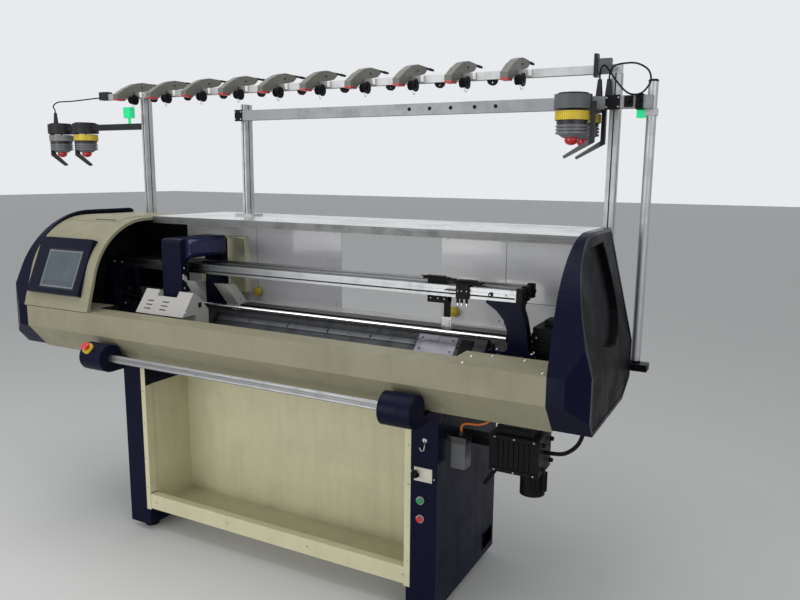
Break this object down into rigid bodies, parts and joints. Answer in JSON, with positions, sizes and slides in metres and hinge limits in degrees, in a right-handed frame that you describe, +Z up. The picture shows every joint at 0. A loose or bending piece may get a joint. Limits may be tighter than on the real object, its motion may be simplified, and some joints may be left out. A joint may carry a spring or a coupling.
{
  "type": "flat knitting machine",
  "caption": "Flat knitting machine with a long beam on two cabinets, a roof of two needle beds, a carriage on a bridge, a head with a screen, sloped end caps and a yarn stand",
  "frame": {"origin": "middle of the whole outline, on the floor", "axes": "X along the beds to the operator's right, Y away from the operator, Z up"},
  "size_m": [3.036, 0.9318, 1.936],
  "materials": {
    "beam_paint": "beige textured paint",
    "navy_paint": "dark navy satin paint",
    "dark_panel": "dark grey satin paint",
    "white_paint": "white satin paint",
    "cream_paint": "cream paint",
    "grey_board": "light grey gloss board",
    "frame_iron": "dark painted casting",
    "bed_steel": "ground steel",
    "needle_steel": "polished steel",
    "aluminium": "brushed aluminium",
    "black_plastic": "black",
    "black_rubber": "black",
    "bezel_gloss": "glossy navy",
    "screen_dark": "dark display glass",
    "red_plastic": "red",
    "green_plastic": "green",
    "yellow_plastic": "yellow",
    "feeder_metal": "dark feeder drum",
    "hose_orange": "orange"
  },
  "bodies": {
    "machine": {"left_cabinet": "navy_paint", "right_cabinet": "navy_paint", "levelling_feet": "black_plastic", "tray": "cream_paint", "back_panel": "cream_paint", "bed_frame": "frame_iron", "front_cover": "beam_paint", "front_needle_bed": "bed_steel", "rear_needle_bed": "bed_steel", "needles": "needle_steel", "rear_cover": "white_paint", "guide_rod": "aluminium", "carrier_rails": "aluminium", "rail_brackets": "navy_paint", "drive_motor": "black_plastic", "drive_belt": "black_rubber", "head_cover": "beam_paint", "screen_bezel": "bezel_gloss", "screen_glass": "screen_dark", "left_cap": "navy_paint", "right_cap": "navy_paint", "left_side_panel": "dark_panel", "right_side_panel": "dark_panel", "table_board": "grey_board", "table_edge": "aluminium", "rear_panels": "white_paint", "junction_box": "cream_paint", "bar_brackets": "navy_paint", "button_collars": "yellow_plastic", "breaker": "black_plastic", "yarn_stand": "aluminium", "yarn_hoods": "grey_board", "tension_discs": "black_plastic", "feeder_heads": "black_plastic", "signal_lamps": "green_plastic", "lower_motor": "black_plastic", "oil_bottle": "grey_board", "oil_hose": "hose_orange", "left_cable": "black_rubber", "right_cable": "black_rubber", "motor_cable": "black_rubber"},
    "carriage": {"bridge": "navy_paint", "cam_plates": "bed_steel", "carriage_covers": "white_paint"},
    "front_carrier": {"carrier_1": "black_plastic"},
    "rear_carrier": {"carrier_2": "black_plastic"},
    "motor_pulley": {"drive_pulley": "aluminium"},
    "far_pulley": {"idler_pulley": "aluminium"},
    "bar": {"start_bar": "aluminium"},
    "stop": {"stop_button": "red_plastic"},
    "start": {"start_button": "green_plastic"},
    "off": {"off_button": "red_plastic"},
    "lever": {"breaker_lever": "black_plastic"},
    "front_roller": {"takedown_roller_front": "frame_iron"},
    "rear_roller": {"takedown_roller_rear": "frame_iron"},
    "drum_1": {"feeder_drum_1": "feeder_metal"},
    "drum_2": {"feeder_drum_2": "feeder_metal"},
    "drum_3": {"feeder_drum_3": "feeder_metal"},
    "drum_4": {"feeder_drum_4": "feeder_metal"}
  },
  "joints": [
    {"name": "carriage_slide", "type": "slide", "parent": "machine", "child": "carriage", "axis": [1, 0, 0], "range_m": [-0.235, 1.185]},
    {"name": "front_carrier_slide", "type": "slide", "parent": "machine", "child": "front_carrier", "axis": [1, 0, 0], "range_m": [-1.525, 0.035]},
    {"name": "rear_carrier_slide", "type": "slide", "parent": "machine", "child": "rear_carrier", "axis": [1, 0, 0], "range_m": [-1.43, 0.17]},
    {"name": "motor_pulley_spin", "type": "hinge", "parent": "machine", "child": "motor_pulley", "pos_m": [1.276, 0.1225, 0.915], "axis": [0, 1, 0], "continuous": true},
    {"name": "far_pulley_spin", "type": "hinge", "parent": "machine", "child": "far_pulley", "pos_m": [-0.824, 0.1225, 0.915], "axis": [0, 1, 0], "continuous": true},
    {"name": "start_bar_turn", "type": "hinge", "parent": "machine", "child": "bar", "pos_m": [0.226, -0.4005, 0.796], "axis": [1, 0, 0], "range_deg": [-20, 20]},
    {"name": "stop_push", "type": "slide", "parent": "machine", "child": "stop", "axis": [0, -0.7071, 0.7071], "range_m": [-0.004, 0], "stiffness_N_per_m": 900},
    {"name": "start_push", "type": "slide", "parent": "machine", "child": "start", "axis": [0, 1, 0], "range_m": [0, 0.004], "stiffness_N_per_m": 900},
    {"name": "off_push", "type": "slide", "parent": "machine", "child": "off", "axis": [0, 1, 0], "range_m": [0, 0.004], "stiffness_N_per_m": 900},
    {"name": "breaker_turn", "type": "hinge", "parent": "machine", "child": "lever", "pos_m": [0.878, -0.2425, 0.522], "axis": [0, 1, 0], "range_deg": [0, 90]},
    {"name": "front_roller_spin", "type": "hinge", "parent": "machine", "child": "front_roller", "pos_m": [0.226, -0.054, 0.715], "axis": [1, 0, 0], "continuous": true},
    {"name": "rear_roller_spin", "type": "hinge", "parent": "machine", "child": "rear_roller", "pos_m": [0.226, -0.017, 0.715], "axis": [1, 0, 0], "continuous": true},
    {"name": "drum_1_spin", "type": "hinge", "parent": "machine", "child": "drum_1", "pos_m": [-1.442, 0.2645, 1.701], "axis": [0, 0, 1], "continuous": true},
    {"name": "drum_2_spin", "type": "hinge", "parent": "machine", "child": "drum_2", "pos_m": [-1.258, 0.2645, 1.701], "axis": [0, 0, 1], "continuous": true},
    {"name": "drum_3_spin", "type": "hinge", "parent": "machine", "child": "drum_3", "pos_m": [1.241, 0.1465, 1.733], "axis": [0, 0, 1], "continuous": true},
    {"name": "drum_4_spin", "type": "hinge", "parent": "machine", "child": "drum_4", "pos_m": [1.241, 0.3045, 1.733], "axis": [0, 0, 1], "continuous": true}
  ],
  "couplings": [
    {"joint": "motor_pulley_spin", "follows": "carriage_slide", "rad_per_m": 31.447},
    {"joint": "far_pulley_spin", "follows": "carriage_slide", "rad_per_m": 31.447},
    {"joint": "rear_roller_spin", "follows": "front_roller_spin", "ratio": -1}
  ]
}
